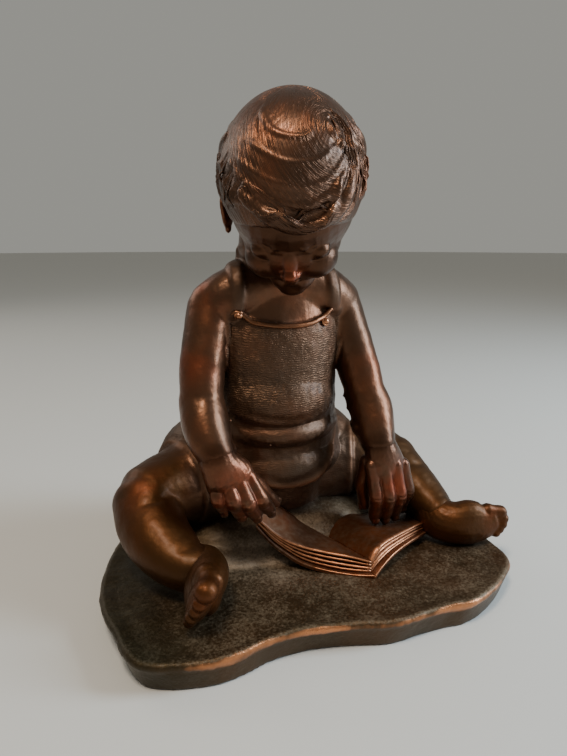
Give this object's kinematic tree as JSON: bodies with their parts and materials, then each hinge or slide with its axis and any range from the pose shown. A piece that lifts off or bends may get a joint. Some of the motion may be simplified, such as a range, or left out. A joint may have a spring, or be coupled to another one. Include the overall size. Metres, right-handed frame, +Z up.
{
  "type": "statue",
  "caption": "Seated child bowed over an open book, in a bib romper, cast in one piece with a low free-form base.",
  "frame": {"origin": "on the underside, in the middle of the box round the whole casting", "axes": "+Z up, -Y the way the child faces, +X to the child's left"},
  "size_m": [0.2626, 0.1868, 0.2975],
  "materials": {
    "bronze": "dark brown patina, waxed, worn to copper on the raised edges and fingers"
  },
  "bodies": {
    "root": {"boy_statue": "bronze"}
  },
  "joints": []
}
